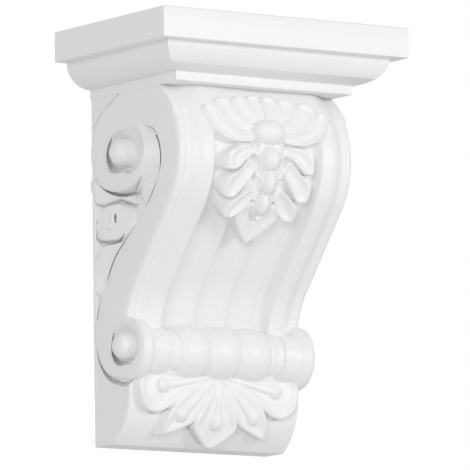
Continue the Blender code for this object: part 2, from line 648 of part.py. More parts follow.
def main():
    for thing in list(bpy.data.objects):
        bpy.data.objects.remove(thing)
    scene = bpy.context.scene
    finished, joined, cut_away = (bpy.data.collections.new(name) for name in ("corbel", "corbel forms", "corbel wall"))
    for collection in (finished, joined, cut_away):
        scene.collection.children.link(collection)

    coarse = front_path(radians(14))
    fine = front_path(radians(4))
    forms = [capital(), block(), fluted_front(coarse), roll()]
    root = CONSOLE_HALF_WIDTH - SIDE_RECESS - OVERLAP
    upper = scroll("upper scroll", UPPER_EYE, UPPER_SIZE, UPPER_RISE, UPPER_OUTLINE, UPPER_DISH, UPPER_RAMP,
                   UPPER_ROUND)
    lower = scroll("lower scroll", LOWER_EYE, DRUM_RADIUS, LOWER_RISE, LOWER_OUTLINE, LOWER_DISH, LOWER_RAMP,
                   LOWER_ROUND)
    band = band_side(coarse)
    for side in (-1, 1):
        low, high = sorted((-side * root, -side * CONSOLE_HALF_WIDTH))
        forms.append(prism("band", band, SIDE_VIEW, low, high))
        for mesh in (upper, lower):
            handed = mesh.copy()
            if side < 0:
                handed.transform(Matrix.Scale(-1, 4, (1, 0, 0)))
                handed.flip_normals()
            forms.append(handed)
        for eye in (UPPER_EYE, LOWER_EYE):
            def lay(depth, height, stand, eye=eye, side=side):
                return place(side * (CONSOLE_HALF_WIDTH + stand), eye[0] + depth, eye[1] + height)
            forms.append(ball("eye", lay, (0, 0), EYE_RADIUS, EYE_RADIUS, (EYE_STAND, EYE_RADIUS), 12, 8))
        forms += side_leaf(side)
    forms += palmette(fine)
    forms += hanging_palmette(Path(block_front(), HANGING_TOP))

    for i, mesh in enumerate(forms):
        new_object(f"form {i + 1:02d} {mesh.name}", mesh, joined)
    wide, tall = 2 * SLAB_HALF_WIDTH, 2 * HEIGHT
    wall_outline = [(-wide, -tall), (wide, -tall), (wide, tall), (-wide, tall)]
    wall = new_object("wall", prism("wall", wall_outline, FRONT_VIEW, -SLAB_DEPTH, 0.0), cut_away)
    for cutter in (*joined.objects, wall):
        cutter.hide_render = True
        cutter.display_type = "WIRE"
    corbel = new_object("corbel", body(coarse), finished)
    corbel.data.materials.clear()
    corbel.data.materials.append(material())
    join = boolean(corbel, "UNION", "cast in one")
    join.operand_type = "COLLECTION"
    join.collection = joined
    boolean(corbel, "DIFFERENCE", "cut flat at the wall").object = wall


main()
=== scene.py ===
# %% [markdown]
# A corbel is a bracket that seems to carry a shelf, a beam or a cornice. This one is cast in one
# piece in hard foam and primed white. It is one solid, so it becomes one mesh here too, made in
# steps: plain forms first, carving laid on them, then everything fused as the mould does it.

# %% Load the frame
from math import acos, atan2, cos, pi, radians, sin

import bmesh
import bpy
import numpy as np
from mathutils import Matrix, Vector


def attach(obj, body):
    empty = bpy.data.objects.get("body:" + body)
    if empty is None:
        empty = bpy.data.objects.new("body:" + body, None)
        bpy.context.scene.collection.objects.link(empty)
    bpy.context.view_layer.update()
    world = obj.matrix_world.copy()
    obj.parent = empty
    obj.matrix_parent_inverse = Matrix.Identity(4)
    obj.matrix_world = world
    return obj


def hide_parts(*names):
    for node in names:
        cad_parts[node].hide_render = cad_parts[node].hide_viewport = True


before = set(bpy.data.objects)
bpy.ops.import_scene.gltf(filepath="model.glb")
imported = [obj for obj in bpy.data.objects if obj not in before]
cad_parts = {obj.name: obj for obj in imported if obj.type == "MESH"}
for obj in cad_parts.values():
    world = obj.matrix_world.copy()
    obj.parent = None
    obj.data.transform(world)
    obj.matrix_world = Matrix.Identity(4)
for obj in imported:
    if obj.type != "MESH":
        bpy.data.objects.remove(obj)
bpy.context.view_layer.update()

mm = 0.001


# %% [markdown]
# The camera comes first. It stands far off with a long lens, a little below the corbel
# and to its left, so we look up at it as at a wall.

# %% Camera
def new_object(name, data):
    """An object in the scene."""
    thing = bpy.data.objects.new(name, data)
    bpy.context.scene.collection.objects.link(thing)
    return thing


AZIMUTH, ELEVATION, ROLL = radians(34.28), radians(-7.35), radians(-0.77)
TARGET, DISTANCE = Vector((0.0012, -0.07, 0.0009)), 5.321
back = Vector((-sin(AZIMUTH) * cos(ELEVATION), -cos(AZIMUTH) * cos(ELEVATION), sin(ELEVATION)))
right = Vector((cos(AZIMUTH), -sin(AZIMUTH), 0.0))
up = back.cross(right)
turned_axes = Matrix((right * cos(ROLL) + up * sin(ROLL), up * cos(ROLL) - right * sin(ROLL), back))
camera = new_object("camera", bpy.data.cameras.new("camera"))
camera.data.sensor_width = 36
camera.data.lens = 566.2
camera.data.clip_end = 100
camera.matrix_world = Matrix.LocRotScale(TARGET + back * DISTANCE, turned_axes.transposed(), None)
bpy.context.scene.camera = camera
print("camera at", [round(v, 2) for v in camera.matrix_world.translation], "m")

# %% [markdown]
# Studio light for white on white. The whole room glows, a touch more from below as over a pale
# floor, and two soft lamps stand right and left. So the flutes shade gently and only deep cuts go
# dark. The camera itself sees a plain white room.

# %% Light and floor
def colour(hex_code):
    """Linear colour from an sRGB hex code."""
    channels = [int(hex_code[i:i + 2], 16) / 255 for i in (1, 3, 5)]
    return [c / 12.92 if c <= 0.04045 else ((c + 0.055) / 1.055) ** 2.4 for c in channels] + [1.0]


def add_node(tree, kind, settings=None, inputs=None):
    """Adds a node with its properties and inputs. Inputs that are nodes or sockets are linked."""
    node = tree.nodes.new(kind)
    for name, value in (settings or {}).items():
        setattr(node, name, value)
    for name, value in (inputs or {}).items():
        value = value.outputs[0] if isinstance(value, bpy.types.Node) else value
        if isinstance(value, bpy.types.NodeSocket):
            tree.links.new(value, node.inputs[name])
        else:
            node.inputs[name].default_value = value
    return node


def math_node(tree, operation, *inputs, kind="ShaderNodeMath"):
    """A node for a sum, a product or the like."""
    return add_node(tree, kind, {"operation": operation}, dict(enumerate(inputs)))


ROOM_GLOW, GLOW_TILT = 0.63, -0.05
WHITE = colour("#FFFFFF")
bpy.context.scene.view_settings.view_transform = "Standard"
world = bpy.data.worlds.new("studio")
bpy.context.scene.world = world
world.use_nodes = True
tree = world.node_tree
tree.nodes.clear()
where = add_node(tree, "ShaderNodeTexCoord")
split = add_node(tree, "ShaderNodeSeparateXYZ", inputs={0: where.outputs["Generated"]})
strength = math_node(tree, "MULTIPLY_ADD", split.outputs["Z"], GLOW_TILT, ROOM_GLOW)
seen = add_node(tree, "ShaderNodeBackground", inputs={"Color": WHITE, "Strength": 1.0})
glow = add_node(tree, "ShaderNodeBackground", inputs={"Color": WHITE, "Strength": strength})
ray = add_node(tree, "ShaderNodeLightPath")
mixed = add_node(tree, "ShaderNodeMixShader",
                 inputs={0: ray.outputs["Is Camera Ray"], 1: glow, 2: seen})
add_node(tree, "ShaderNodeOutputWorld", inputs={"Surface": mixed})


def soft_lamp(name, azimuth, elevation, distance, size, watts):
    """A square lamp that faces the corbel."""
    data = bpy.data.lights.new(name, "AREA")
    data.size = size
    data.energy = watts
    lamp = new_object(name, data)
    away = Vector((sin(azimuth) * cos(elevation), -cos(azimuth) * cos(elevation), sin(elevation)))
    lamp.location = away * distance
    lamp.rotation_euler = away.to_track_quat("Z", "Y").to_euler()


LAMP_DISTANCE, LAMP_SIZE = 2.4, 0.6
soft_lamp("right lamp", radians(25), radians(8), LAMP_DISTANCE, LAMP_SIZE, watts=11.2)
soft_lamp("left lamp", radians(-38), radians(4), LAMP_DISTANCE, LAMP_SIZE, watts=12.5)

FLOOR_LEVEL, FLOOR_REACH = -1.4, 8
corners = [(x * FLOOR_REACH, y * FLOOR_REACH, FLOOR_LEVEL) for x, y in ((-1, -1), (1, -1), (1, 1), (-1, 1))]
floor_mesh = bpy.data.meshes.new("floor")
floor_mesh.from_pydata(corners, [], [(0, 1, 2, 3)])
floor = new_object("floor", floor_mesh)
floor.visible_diffuse = False
floor_paint = bpy.data.materials.new("matt floor paint")
floor_paint.use_nodes = True
shader = floor_paint.node_tree.nodes["Principled BSDF"]
shader.inputs["Base Color"].default_value = colour("#F2F2F2")
shader.inputs["Roughness"].default_value = 0.9
floor_mesh.materials.append(floor_paint)
print("room glow:", ROOM_GLOW, "floor at", FLOOR_LEVEL, "m")

# %% [markdown]
# The measures are those of the solid, in millimetres: d is the depth out of the wall and h the
# height above the foot. One function turns them into places in the scene.

# %% Measures
HEIGHT = 300.0
HALF_WIDTH = 75.3
SOFFIT = 252.5
BELLY_CENTRE, BELLY_RADIUS, BELLY_START = (56.9, 204.9), 57.1, radians(56.5)
THROAT_CENTRE, THROAT_RADIUS = (104.5, 74.0), 63.4
UPPER_EYE = (42.5, 209.0)
LOWER_EYE = (43.0, 67.0)
LEAD_IN = 4.0
FINE = 0.6
print("grid spacing of the carving:", FINE, "mm")


def place(x, d, h):
    """World places, in metres, of places on the corbel in millimetres."""
    return np.stack(np.broadcast_arrays(x, -np.asarray(d), np.asarray(h) - HEIGHT / 2), axis=-1) * mm


def on_circle(centre, radius, angle):
    """Points on a circle."""
    return np.stack([centre[0] + radius * np.cos(angle), centre[1] + radius * np.sin(angle)], axis=-1)


def turn_of(count):
    """Angles all the way round."""
    return np.linspace(0, 2 * pi, count, endpoint=False)


# %% [markdown]
# Two kinds of mesh are enough for all the plain forms. A sheet is a grid with a top and an
# underside, a stack is a row of rings, and both are closed bodies from the start.

# %% Mesh helpers
def new_mesh(name, points, faces):
    """An object from points and faces of any size."""
    mesh = bpy.data.meshes.new(name)
    mesh.from_pydata(points.reshape(-1, 3).tolist(), [], faces)
    return new_object(name, mesh)


def closed_sheet(name, top, under):
    """A closed body between two grids of the same shape."""
    rows, columns = top.shape[:2]
    index = np.arange(rows * columns).reshape(rows, columns)
    quads = np.stack([index[:-1, :-1], index[:-1, 1:], index[1:, 1:], index[1:, :-1]], axis=-1).reshape(-1, 4)
    size = rows * columns
    edge = np.concatenate([index[0, :-1], index[:-1, -1], index[-1, :0:-1], index[:0:-1, 0]])
    after = np.roll(edge, -1)
    wall = np.stack([edge, edge + size, after + size, after], axis=-1)
    faces = np.concatenate([quads, quads[:, ::-1] + size, wall]).tolist()
    return new_mesh(name, np.concatenate([top.reshape(-1, 3), under.reshape(-1, 3)]), faces)


def closed_stack(name, rings):
    """A closed body from rings of points, with its two ends filled."""
    count, sides = rings.shape[:2]
    index = np.arange(count * sides).reshape(count, sides)
    ahead = np.roll(index, -1, axis=1)
    quads = np.stack([index[:-1], ahead[:-1], ahead[1:], index[1:]], axis=-1).reshape(-1, 4).tolist()
    return new_mesh(name, rings, quads + [index[0][::-1].tolist(), index[-1].tolist()])


def outward(thing):
    """Turns all faces of a closed body outward."""
    bm = bmesh.new()
    bm.from_mesh(thing.data)
    bmesh.ops.recalc_face_normals(bm, faces=bm.faces)
    if bm.calc_volume(signed=True) < 0:
        bmesh.ops.reverse_faces(bm, faces=bm.faces)
    bm.to_mesh(thing.data)
    bm.free()
    return thing


def triangles(mesh):
    """Number of triangles of a mesh."""
    return sum(len(face.vertices) - 2 for face in mesh.polygons)


forms = []


def keep(thing):
    """Keeps a form for the casting."""
    forms.append(outward(thing))
    return thing


# %% [markdown]
# Seen from the side the front is an S: a belly, a straight run and a throat. It is two arcs and
# the line that touches both, so one short function gives it at any fineness.

# %% The S of the front
def front_line(step):
    """Points of the S from the soffit down, with a short piece above it."""
    across = np.subtract(THROAT_CENTRE, BELLY_CENTRE)
    touch = atan2(across[1], across[0]) + acos((BELLY_RADIUS + THROAT_RADIUS) / np.hypot(*across))
    belly = on_circle(BELLY_CENTRE, BELLY_RADIUS, np.arange(BELLY_START, touch, -step))
    throat = on_circle(THROAT_CENTRE, THROAT_RADIUS, np.arange(touch + pi, pi + radians(2), step))
    above = belly[0] + LEAD_IN * np.array([-sin(BELLY_START), cos(BELLY_START)])
    count = int(np.hypot(*(throat[0] - belly[-1])) / (BELLY_RADIUS * step))
    run = belly[-1] + np.linspace(0, 1, count + 1)[1:-1, None] * (throat[0] - belly[-1])
    return np.concatenate([above[None], belly, run, throat])


def path_object(name, line):
    """A curve through points of the side view."""
    curve = bpy.data.curves.new(name, "CURVE")
    curve.dimensions = "3D"
    spline = curve.splines.new("POLY")
    spline.points.add(len(line) - 1)
    for knot, co in zip(spline.points, place(0.0, line[:, 0], line[:, 1])):
        knot.co = (*co, 1.0)
    return new_object(name, curve)


def line_length(line):
    """Length along a line of points."""
    return float(np.hypot(*np.diff(line, axis=0).T).sum())


def beside(line, amount):
    """A line of the side view moved to its right-hand side, which for the S is into the corbel."""
    along = np.gradient(line, axis=0)
    along /= np.hypot(*along.T)[:, None]
    return line + np.stack([along[:, 1], -along[:, 0]], axis=-1) * amount


front = front_line(radians(1.5))
front_path = path_object("front path", front)
front_length = line_length(front) - LEAD_IN
print("length of the S:", round(front_length, 1), "mm")

# %% [markdown]
# The carving is drawn flat first: x across, s down the front, and a height. A small tree of
# geometry nodes then lays that sheet on the curve, so the carver's flat drawing bends with the S.

# %% Laying a flat sheet on a path
def start_tree(title, sockets):
    """Geometry nodes with named inputs, and the sockets that give those inputs."""
    tree = bpy.data.node_groups.new(title, "GeometryNodeTree")
    for name, kind in (("Geometry", "Geometry"), *sockets, ("Finish", "Material")):
        tree.interface.new_socket(name=name, in_out="INPUT", socket_type="NodeSocket" + kind)
    tree.interface.new_socket(name="Geometry", in_out="OUTPUT", socket_type="NodeSocketGeometry")
    return tree, add_node(tree, "NodeGroupInput").outputs


def end_tree(tree, geometry, finish):
    """Makes instances real, sets their finish and hands them out."""
    real = add_node(tree, "GeometryNodeRealizeInstances", inputs={0: geometry})
    painted = add_node(tree, "GeometryNodeSetMaterial", inputs={"Geometry": real, "Material": finish})
    add_node(tree, "NodeGroupOutput", inputs={0: painted})
    return tree


def laying_tree():
    """Geometry nodes that bend a flat sheet (x across, y along, z up) onto a path."""
    tree, given = start_tree("lay on path", (("Path", "Object"), ("Start", "Float")))
    path = add_node(tree, "GeometryNodeObjectInfo", inputs={"Object": given["Path"]})
    here = add_node(tree, "GeometryNodeInputPosition")
    parts = add_node(tree, "ShaderNodeSeparateXYZ", inputs={0: here})
    along = math_node(tree, "ADD", parts.outputs["Y"], given["Start"])
    spot = add_node(tree, "GeometryNodeSampleCurve", {"mode": "LENGTH"})
    tree.links.new(path.outputs["Geometry"], spot.inputs["Curves"])
    tree.links.new(along.outputs[0], spot.inputs["Length"])
    vector = "ShaderNodeVectorMath"
    normal = math_node(tree, "CROSS_PRODUCT", spot.outputs["Tangent"], (1.0, 0.0, 0.0), kind=vector)
    stand = add_node(tree, vector, {"operation": "SCALE"}, {0: normal, "Scale": parts.outputs["Z"]})
    across = add_node(tree, "ShaderNodeCombineXYZ", inputs={"X": parts.outputs["X"]})
    base = math_node(tree, "ADD", spot.outputs["Position"], stand, kind=vector)
    target = math_node(tree, "ADD", base, across, kind=vector)
    moved = add_node(tree, "GeometryNodeSetPosition",
                     inputs={"Geometry": given["Geometry"], "Position": target})
    return end_tree(tree, moved, given["Finish"])


def plain_mesh(thing):
    """Replaces an object's mesh by what its modifiers make of it."""
    bpy.context.view_layer.update()
    made = bpy.data.meshes.new_from_object(thing.evaluated_get(bpy.context.evaluated_depsgraph_get()))
    thing.modifiers.clear()
    thing.data = made
    return thing


def run_tree(thing, tree, **values):
    """Runs a tree on an object, with its named inputs, and keeps the result as a plain mesh."""
    modifier = thing.modifiers.new(tree.name, "NODES")
    modifier.node_group = tree
    for item in tree.interface.items_tree:
        if item.in_out == "INPUT" and item.name in values:
            modifier[item.identifier] = values[item.name]
    return plain_mesh(thing)


primer = bpy.data.materials.new("white primer on cast foam")
lay_on_path = laying_tree()
print("tree:", lay_on_path.name, "with", len(lay_on_path.nodes), "nodes")

# %% [markdown]
# Across the front run an edge bead, a broad round band, a step and three flutes. Only half of
# that profile is drawn, since the corbel is symmetric. Curves between the marks keep it soft.

# %% Profile across the front
def smooth_line(x, marks):
    """A soft curve through marks (x, y), read at x."""
    marks = np.array(sorted(marks), dtype=float)
    px, py = marks.T
    slopes = np.gradient(py, px)
    i = np.clip(np.searchsorted(px, x) - 1, 0, len(px) - 2)
    width = px[i + 1] - px[i]
    t = np.clip((x - px[i]) / width, 0, 1)
    a, b = py[i], py[i + 1]
    c, d = slopes[i] * width, slopes[i + 1] * width
    return a + t * (c + t * (3 * (b - a) - 2 * c - d + t * (2 * (a - b) + c + d)))


STEP_START, BAND_START, BEAD_START = 38.9, 44.9, 68.9
BEAD_MIDDLE, BEAD_SIZE = 71.3, 4.0
MIDDLE_FLUTE, OUTER_FLUTE = 27.5, 25.15
FLUTE_TOP, FLUTE_DEPTH = -5.8, 4.4
BAND = ((BAND_START, -4.4), (45.4, -2.4), (45.8, 0.6), (46.4, 2.4), (47.6, 3.0), (51.5, 3.5), (56, 3.5),
        (60, 2.3), (63, 0.5), (65.7, -0.8), (68, -1.0), (70, -1.0))
STEP = ((STEP_START, -6.4), (40, -6.1), (42.5, -5.0), (BAND_START, -4.4), (46, -4.2))


def front_profile(x):
    """Height of the front over the S, across the corbel."""
    u = np.abs(x)
    bead = -BEAD_SIZE + np.sqrt(np.clip(BEAD_SIZE ** 2 - (u - BEAD_MIDDLE) ** 2, 0, None))
    half = MIDDLE_FLUTE / 2
    share = np.where(u > half, (u - half) / OUTER_FLUTE, (u + half) / MIDDLE_FLUTE)
    flute = FLUTE_TOP - FLUTE_DEPTH * np.sqrt(np.clip(1 - (2 * share - 1) ** 2, 0, None)) ** 1.3
    field = np.where(u > STEP_START, smooth_line(u, STEP), flute)
    return np.where(u >= BEAD_START, bead, np.where(u > BAND_START, smooth_line(u, BAND), field))


print("middle flute:", round(-float(front_profile(0.0)), 1), "mm deep")


# %% [markdown]
# A petal is a closed outline with a height for each point inside it. The distance from the
# outline gives the sloping wall, the raised rim and the hollow, so every leaf is one call.

# %% Petal helpers
def bezier(knots, count):
    """Points on a Bezier curve, and the directions there."""
    level = np.repeat(np.array(knots, dtype=float)[:, None], count, axis=1)
    t = np.linspace(0, 1, count)[None, :, None]
    ahead = level
    while len(level) > 1:
        ahead = level
        level = level[:-1] * (1 - t) + level[1:] * t
    along = ahead[1] - ahead[0]
    return level[0], along / np.hypot(*along.T)[:, None]


def soft_path(a, b, c, d, t):
    """A soft curve from b to c, with a before them and d behind them."""
    return b + 0.5 * t * (c - a + t * (2 * a - 5 * b + 4 * c - d + t * (3 * (b - c) + d - a)))


def closed_curve(marks, count=6):
    """A smooth closed outline through marks. A mark given twice is a sharp corner."""
    marks = np.array(marks, dtype=float)
    around = (np.roll(marks, -k, axis=0)[:, None] for k in (-1, 0, 1, 2))
    return soft_path(*around, np.linspace(0, 1, count, endpoint=False)[None, :, None]).reshape(-1, 2)


def mirrored(marks, side):
    """Marks, or their mirror image on the other side."""
    return [(side * mx, my) for mx, my in marks]


def both_halves(marks):
    """A whole outline from its right half. Marks on the middle line aren't repeated."""
    return marks + tuple((-mx, my) for mx, my in marks[::-1] if mx > 0)


def inside_distance(x, y, outline):
    """Distance from each point to an outline, positive inside, and the outward direction there."""
    best = np.full(x.shape, 1e9)
    reach_x, reach_y = np.zeros(x.shape), np.zeros(x.shape)
    inside = np.zeros(x.shape, dtype=bool)
    for (ax, ay), (bx, by) in zip(outline, np.roll(outline, -1, axis=0)):
        ex, ey = bx - ax, by - ay
        square = ex * ex + ey * ey
        if square < 1e-12:
            continue
        t = np.clip(((x - ax) * ex + (y - ay) * ey) / square, 0, 1)
        dx, dy = ax + t * ex - x, ay + t * ey - y
        closer = dx * dx + dy * dy < best
        best = np.where(closer, dx * dx + dy * dy, best)
        reach_x, reach_y = np.where(closer, dx, reach_x), np.where(closer, dy, reach_y)
        if ay != by:
            inside ^= ((ay > y) != (by > y)) & (x < (bx - ax) * (y - ay) / (by - ay) + ax)
    sign = np.where(inside, 1, -1)
    best = np.sqrt(best)
    return sign * best, sign * reach_x / (best + 1e-6), sign * reach_y / (best + 1e-6)


def share_along(x, y, centre):
    """How far along a centre line each point lies, from 0 to 1."""
    distance = [(x - px) ** 2 + (y - py) ** 2 for px, py in centre]
    return np.argmin(np.stack(distance), axis=0) / (len(centre) - 1)


def soft_max(a, b, soft=0.5):
    """The larger of two heights, with a small fillet between them."""
    mix = np.clip(0.5 + 0.5 * (a - b) / soft, 0, 1)
    return b * (1 - mix) + a * mix + soft * mix * (1 - mix)


def ease(t):
    """A soft step from 0 to 1."""
    t = np.clip(t, 0, 1)
    return t * t * (3 - 2 * t)


class Relief:
    """Heights over a flat grid, onto which leaves and beads are laid."""

    def __init__(self, x, y, height):
        self.x, self.y, self.height = x, y, height

    def near(self, outline, margin=8.0):
        """The part of the grid round an outline, as two slices."""
        low, high = outline.min(axis=0) - margin, outline.max(axis=0) + margin
        close = (self.x >= low[0]) & (self.x <= high[0]) & (self.y >= low[1]) & (self.y <= high[1])
        rows, columns = np.where(close.any(axis=1))[0], np.where(close.any(axis=0))[0]
        return slice(rows[0], rows[-1] + 1), slice(columns[0], columns[-1] + 1)

    def add(self, part, height, soft):
        """Lays heights on a part of the grid, with a small fillet where they meet the ground."""
        self.height[part] = soft_max(self.height[part], height, soft)

    def shape(self, outline, level, rim=1.2, hollow=2.0, bowl=4.0, slope=8.0, soft=0.35, dull=0.8,
              flank=None, trench=None, cut=2.6, free=0.0, spoon=None):
        """A raised outline with steep walls, a rounded rim and a hollow face. level may vary with x and y.
        Towards the direction flank the wall leans back. Towards trench the ground beside it is cut away
        by cut, beyond the distance free from the middle line. spoon is another outline for the hollow."""
        part = self.near(outline)
        x, y = self.x[part], self.y[part]
        inner, out_x, out_y = inside_distance(x, y, outline)
        height = level(x, y) if callable(level) else level
        if flank:
            slope = slope * (1 - 0.84 * np.clip(out_x * flank[0] + out_y * flank[1], 0, 1) ** 0.7)
        if trench:
            facing = np.clip((out_x * trench[0] + out_y * trench[1]) * 1.3 - 0.1, 0, 1)
            if free:
                facing = facing * np.clip((np.abs(x) - free) / 10, 0, 1)
            self.height[part] = self.height[part] - cut * facing * ease((inner + 2.1) / 0.9) * (inner < 0.3)
        wall = -slope * np.clip(0.4 - inner, 0, None) - dull * (1 - ease((inner + 0.2) / rim))
        if spoon is not None:
            inner = inside_distance(x, y, spoon)[0]
        dish = -hollow * ease((inner - rim * 0.7) / bowl)
        self.add(part, height + wall + dish, soft)

    def leaf(self, knots, widths, top, **settings):
        """A leaf along a line. widths and top give marks (share of the length, half-width or height)."""
        centre, along = bezier(knots, 26)
        half = smooth_line(np.linspace(0, 1, len(centre)), widths)[:, None]
        normal = np.stack([-along[:, 1], along[:, 0]], axis=-1)
        outline = np.concatenate([centre + normal * half, (centre - normal * half)[::-1]])
        self.shape(outline, lambda x, y: smooth_line(share_along(x, y, centre), top), **settings)

    def bead(self, spot, across, along, base, rise, soft=0.4):
        """An oval bead."""
        outline = np.array(spot) + np.array([[-across, -along], [across, along]])
        part = self.near(outline, 3.0)
        ring = ((self.x[part] - spot[0]) / across) ** 2 + ((self.y[part] - spot[1]) / along) ** 2
        dome = base + rise * np.sqrt(np.clip(1 - ring, 0, None)) - 30 * np.clip(np.sqrt(ring) - 1, 0, None)
        self.add(part, dome, soft)


# %% [markdown]
# The palmette on the belly: a shell of eight hollow petals fans out from an oval boss, three
# pairs of spoon leaves droop below it beside a string of beads, and a pointed leaf ends it.
# Behind the shell the flutes are filled up to the bands, so the shell lies on a smooth ground.

# %% The fluted front with its palmette
x = np.arange(-HALF_WIDTH, HALF_WIDTH + 0.01, HALF_WIDTH * 2 / round(HALF_WIDTH * 2 / FINE))
s = np.arange(-LEAD_IN, front_length, FINE)
X, S = np.meshgrid(x, s)
ground = front_profile(X)


def shell_level(x, y):
    """Height of the shell: it leans out of the belly towards its rim."""
    return 3.2 + 0.15 * np.clip(41.5 - y, 0, None) + 0.04 * np.abs(x)


backing = (shell_level(X, S) - 2.2) * (1 - ease((np.abs(X) - 46) / 22)) - 14 * ease((S - 26) / 12)
carving = Relief(X, S, soft_max(ground, backing, 1.5))
print("ground of the front:", X.shape, "points")

# %% [markdown]
# The lower half is laid first: the pointed leaf, the bed of the drooping leaves, the leaves
# themselves with small scales behind them, and over all of it the spine with its beads.

# %% The drooping leaves, the pointed leaf and the beads
KEYSTONE = both_halves(((0, 88), (10, 92), (17.5, 99), (18, 105), (15.5, 109), (12, 113.5), (7, 120),
                        (0, 127), (0, 127)))
carving.shape(closed_curve(KEYSTONE), 4.6, rim=1.6, hollow=1.6, bowl=7, trench=(0, 1))
# Height of the tip, how far out it is, and the outline, all in mm
DROOPING = (
    (8.0, 30, ((9.8, 87.7), (10.5, 82.5), (12, 79.5), (16.9, 83.1), (22.2, 86.6), (26.5, 91), (28.7, 95),
               (28.8, 99.6), (26.7, 103.4), (23, 104), (18.5, 101.4), (13.7, 97), (10.9, 92))),
    (8.0, 36, ((12.5, 68), (14.2, 63.5), (18.2, 61.6), (23.2, 65.3), (28.4, 70.1), (33, 73.6), (35.6, 77.3),
               (35.9, 82.5), (34, 86.8), (30.7, 88.6), (26.3, 87.6), (22, 82.5), (17, 76.6), (13.5, 72))),
    (8.5, 36, ((12, 54.5), (17, 52), (23.5, 51.8), (28.8, 53.6), (33.2, 57), (36, 61.5), (36.6, 65.5),
               (35.6, 69), (33, 69.6), (29, 69.2), (25.3, 66), (20.4, 62), (14.5, 58.5))))
BED = both_halves(((0, 40), (24, 42), (42, 46), (44, 60), (42, 76), (37, 90), (27, 101), (12, 104), (0, 104)))
carving.shape(closed_curve(BED), lambda x, y: 3.2 - 0.17 * np.abs(x), hollow=0.0, slope=1.0)


def drawn_out(marks, reach, more=3.8):
    """Marks of a leaf with its tip drawn outward, for the foot of its leaning end."""
    return [(mx + more * float(ease((mx - reach + 9) / 9)), my) for mx, my in marks]


ROOT = 3.4


def tip_level(tip, reach):
    """Height of a drooping leaf: it rises to a crest near its tip and leans down beyond it."""
    def level(x, y):
        rising = ROOT + (tip - ROOT) * np.abs(x) / reach
        falling = tip - 1.9 * (np.abs(x) - reach - 0.4)
        return -soft_max(-rising, -falling, 6.0)
    return level


for side in (-1, 1):
    for tip, reach, outline in DROOPING:
        carving.shape(closed_curve(mirrored(drawn_out(outline, reach), side)), tip_level(tip, reach),
                      spoon=closed_curve(mirrored(outline, side)), rim=1.2, hollow=3.0, bowl=4.5, dull=0.6,
                      trench=(-0.3 * side, 0.95), cut=4.4, free=16)
    # Small scales beside the beads, each ending in a step
    for low, high, reach in ((48, 59, 15), (59, 74, 12.5), (74, 90, 11)):
        knots = [(side * 6, low), (side * (reach - 1.5), (low + high) / 2), (side * (reach - 3.5), high)]
        carving.leaf(knots, ((0, 3.5), (0.6, 3.4), (1, 2.0)), ((0, 3.0), (1, 5.4)),
                     rim=0.9, hollow=0.8, bowl=2, trench=(0, 1), cut=1.6)
SPINE = both_halves(((0, 46), (10, 49), (11.4, 57), (9.6, 66), (8.2, 72), (7.6, 80), (7.2, 88), (6.6, 95),
                     (4, 101.5), (0, 106), (0, 106)))
carving.shape(closed_curve(SPINE), 6.6, rim=1.1, hollow=3.6, bowl=1.6, trench=(0, 1))
for spot, across, along, rise in ((60.9, 7.6, 8.5, 8.5), (76.7, 5.9, 8.4, 8.0), (92.6, 4.4, 8.4, 7.4)):
    carving.bead((0, spot), across, along, 3.0, rise)
print("leaves and beads stand up to", round(float(carving.height[S > 50].max()), 1), "mm over the S")

# %% [markdown]
# The petals of the shell are laid outermost first, so that each inner one stands a little over
# its neighbour.

# %% The shell
SHELL = (
    ((12, 45.5), (24.6, 43.8), (33, 39.5), (39, 34), (43.2, 29), (44.4, 26.8), (48, 25.4), (52.7, 26.8),
     (53.8, 30.7), (51.5, 36.4), (47.9, 41.6), (43, 45.8), (36, 49.2), (31, 50.4), (24.5, 50.6), (14, 49.4)),
    ((12, 40), (22.5, 34.5), (26.5, 30), (28.2, 24), (29.3, 20.9), (34, 19), (38.2, 19.5), (42, 21.5),
     (44, 24.3), (42.6, 29.1), (38.2, 34.3), (32, 39.4), (24.6, 43.3), (12, 45)),
    ((6, 38), (10.8, 28), (13, 22.5), (13.6, 18.6), (18, 16.5), (22, 17), (25.8, 19.4), (27.5, 22.2),
     (27.2, 26.2), (25.5, 30.8), (22, 34.2), (12, 40)),
    ((0.8, 36), (0.6, 26), (0.7, 17), (2.5, 14.8), (7.6, 14.6), (11.6, 16.2), (12.7, 19.2), (12.5, 23.1),
     (10.8, 27.7), (6.7, 36)))
FAN = both_halves(((0, 16.5), (8, 16), (20, 18.5), (34, 21), (46, 27), (51, 31), (48, 40), (40, 45.5),
                   (28, 48.5), (12, 48), (0, 50)))
carving.shape(closed_curve(FAN), lambda x, y: shell_level(x, y) - 2.2, hollow=0.0)
for side in (-1, 1):
    for outline, cut in zip(SHELL, (3.4, 0.9, 0.9, 0.9)):
        carving.shape(closed_curve(mirrored(outline, side)), shell_level, rim=1.0, hollow=1.9, bowl=3.6,
                      soft=0.25, flank=(side, 0.0), trench=(0.1 * side, 1), cut=cut)
carving.bead((0, 42.5), 13.3, 8.6, 3.4, 9.2)
print("highest carving:", round(float(carving.height.max()), 1), "mm over the S")


# %% Laying the front
def laid(name, x, y, top, under, path, start):
    """A carved sheet between two heights, bent onto a path. All is in millimetres."""
    faces = [np.stack([x, y, np.broadcast_to(level, x.shape)], axis=-1) * mm for level in (top, under)]
    sheet = closed_sheet(name, *faces)
    return outward(run_tree(sheet, lay_on_path, Path=path, Start=start * mm, Finish=primer))


front_sheet = keep(laid("fluted front", X, S, carving.height, -24.0, front_path, LEAD_IN))
print("front sheet:", triangles(front_sheet.data), "triangles")

# %% [markdown]
# The foot block stands under the roll, upright and then curving back to the wall. Its sides
# draw in a little towards the front.

